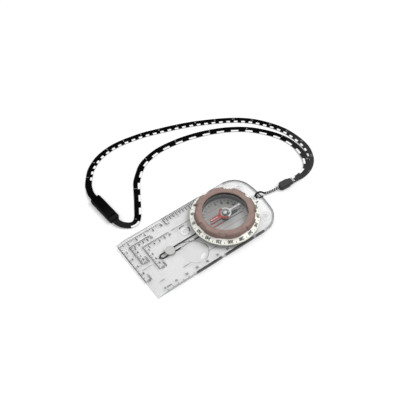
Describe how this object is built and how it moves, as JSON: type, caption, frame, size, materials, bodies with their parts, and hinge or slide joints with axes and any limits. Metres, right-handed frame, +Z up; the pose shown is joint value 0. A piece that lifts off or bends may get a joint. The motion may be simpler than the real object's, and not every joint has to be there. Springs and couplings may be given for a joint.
{
  "type": "baseplate compass",
  "caption": "Baseplate compass with a turning liquid-filled dial, map scales, a magnifier and a neck strap with a breakaway buckle.",
  "frame": {"origin": "under the middle of the baseplate, on the surface the friction feet rest on", "axes": "+Y along the direction of travel, towards the plate's front edge; +X towards the straight edge with the inch scale; +Z up through the dial"},
  "size_m": [0.1536, 0.1953, 0.0129],
  "materials": {
    "clear_acrylic": "clear, polished",
    "clear_silicone": "clear, soft",
    "luminous_plastic": "satin",
    "spring_steel": "blackened",
    "dial_cream": "satin",
    "grip_mauve": "matt, soft touch",
    "capsule_clear": "clear, polished",
    "seal_rubber": "matt",
    "orienting_film": "clear with printed lines",
    "post_plastic": "clear",
    "pin_steel": "polished tip",
    "collar_brass": "satin",
    "arm_green": "matt paint",
    "hub_plastic": "clear",
    "jewel_sapphire": "polished",
    "cap_aluminium": "bright",
    "magnet_steel": "dark",
    "needle_red": "red with luminous dashes",
    "needle_white": "white",
    "cord_black": "twisted",
    "end_moulding": "satin",
    "ribbon_black": "smooth woven ribbon",
    "buckle_black": "satin"
  },
  "bodies": {
    "base": {"baseplate": "clear_acrylic", "friction_feet": "clear_silicone", "luminous_disc": "luminous_plastic", "lanyard_string": "cord_black", "cord_end": "end_moulding", "string_knot": "cord_black", "strap_outer": "ribbon_black", "strap_inner": "ribbon_black", "buckle_socket": "buckle_black"},
    "dial": {"dial_retainer": "spring_steel", "dial_ring": "dial_cream", "bezel_grip": "grip_mauve", "capsule_cup": "capsule_clear", "capsule_cover": "capsule_clear", "capsule_seal": "seal_rubber", "fill_plug": "seal_rubber", "orienting_disc": "orienting_film", "pivot_post": "post_plastic", "pivot_pin": "pin_steel", "arm_collar": "collar_brass"},
    "inclinometer": {"inclinometer_arm": "arm_green"},
    "needle": {"needle_hub": "hub_plastic", "jewel_bearing": "jewel_sapphire", "bearing_cap": "cap_aluminium", "needle_magnet": "magnet_steel", "needle_north_arm": "needle_red", "needle_south_arm": "needle_white"},
    "plug": {"buckle_plug": "buckle_black"}
  },
  "joints": [
    {"name": "dial_turn", "type": "hinge", "parent": "base", "child": "dial", "pos_m": [0, -0.0244, 0], "axis": [0, 0, 1], "continuous": true},
    {"name": "inclinometer_swing", "type": "hinge", "parent": "dial", "child": "inclinometer", "pos_m": [0, -0.0244, 0], "axis": [0, 0, 1], "continuous": true},
    {"name": "needle_swing", "type": "hinge", "parent": "dial", "child": "needle", "pos_m": [0, -0.0244, 0], "axis": [0, 0, 1], "continuous": true},
    {"name": "buckle_release", "type": "slide", "parent": "base", "child": "plug", "axis": [-0.9976, -0.0698, 0], "range_m": [0, 0.012], "deforming": ["strap_inner"]}
  ]
}
